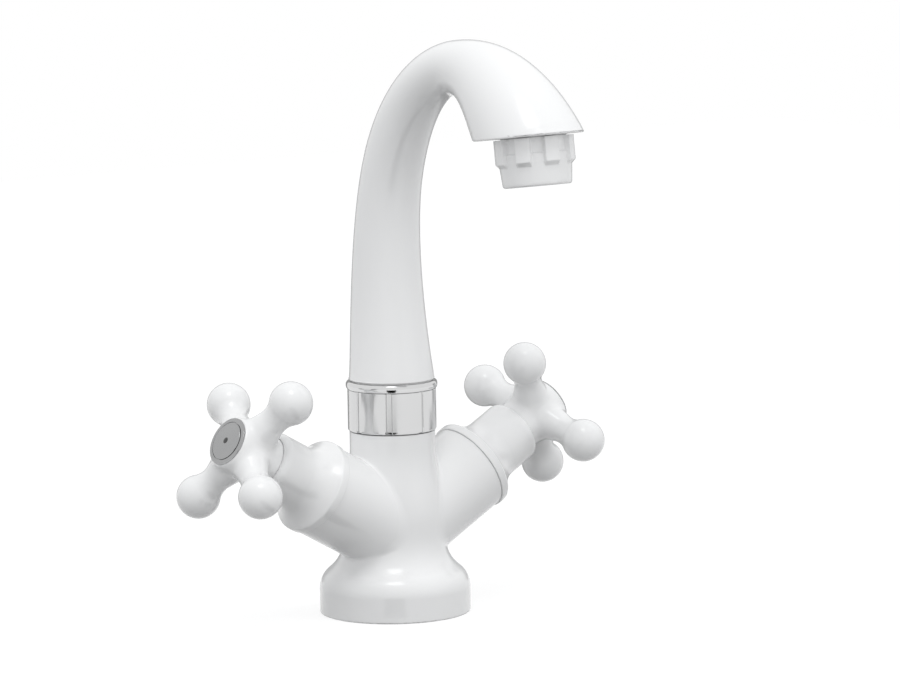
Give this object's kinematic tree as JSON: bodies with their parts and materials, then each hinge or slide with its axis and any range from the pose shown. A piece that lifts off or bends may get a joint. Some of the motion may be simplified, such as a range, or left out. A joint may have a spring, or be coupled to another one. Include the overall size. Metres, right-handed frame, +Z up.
{
  "type": "basin mixer tap",
  "caption": "Pillar basin mixer tap in white plastic with a swivelling gooseneck spout, quarter-turn cross handles on raked side valves, chrome trim and a screw-in aerator.",
  "frame": {"origin": "centre of the base's flat underside, which rests on the basin", "axes": "+Z up along the column, the spout points to -Y, +X towards the right-hand (cold) handle seen from the front"},
  "size_m": [0.1709, 0.136, 0.2145],
  "materials": {
    "white_plastic": "polished, injection moulded",
    "chrome_trim": "polished plating",
    "satin_chrome": "satin plating",
    "brass": "turned",
    "steel": "plain stainless",
    "black_rubber": "moulded",
    "ceramic": "lapped alumina",
    "acetal": "moulded",
    "white_liner": "moulded"
  },
  "bodies": {
    "tap_body": {"tap_body": "white_plastic", "base_seal": "black_rubber", "union_nut": "chrome_trim", "trim_ring": "chrome_trim", "slip_washer": "white_liner", "retaining_ring": "acetal", "left_headwork": "brass", "left_gasket": "black_rubber", "left_seat_seal": "black_rubber", "left_fixed_disc": "ceramic", "left_thrust_washer": "white_liner", "left_bonnet_cover": "white_plastic", "right_headwork": "brass", "right_gasket": "black_rubber", "right_seat_seal": "black_rubber", "right_fixed_disc": "ceramic", "right_thrust_washer": "white_liner", "right_bonnet_cover": "white_plastic"},
    "spout": {"spout": "white_plastic", "spout_spigot": "brass", "spout_o_rings": "black_rubber", "aerator_housing": "white_plastic", "aerator_washer": "black_rubber", "flow_straightener": "white_liner", "aerator_screen": "steel"},
    "left_handle": {"left_spindle": "brass", "left_moving_disc": "ceramic", "left_spindle_o_rings": "black_rubber", "left_spindle_clip": "steel", "left_handle": "white_plastic", "left_handle_screw": "steel", "left_button": "satin_chrome"},
    "right_handle": {"right_spindle": "brass", "right_moving_disc": "ceramic", "right_spindle_o_rings": "black_rubber", "right_spindle_clip": "steel", "right_handle": "white_plastic", "right_handle_screw": "steel", "right_button": "satin_chrome"}
  },
  "joints": [
    {"name": "spout_swivel", "type": "hinge", "parent": "tap_body", "child": "spout", "pos_m": [0, 0, 0.0867], "axis": [0, 0, 1], "continuous": true},
    {"name": "left_handle_turn", "type": "hinge", "parent": "tap_body", "child": "left_handle", "pos_m": [0, 0, 0.0303], "axis": [-0.8746, 0, 0.4848], "range_deg": [0, 90]},
    {"name": "right_handle_turn", "type": "hinge", "parent": "tap_body", "child": "right_handle", "pos_m": [0, 0, 0.0303], "axis": [0.8746, 0, 0.4848], "range_deg": [0, 90]}
  ]
}
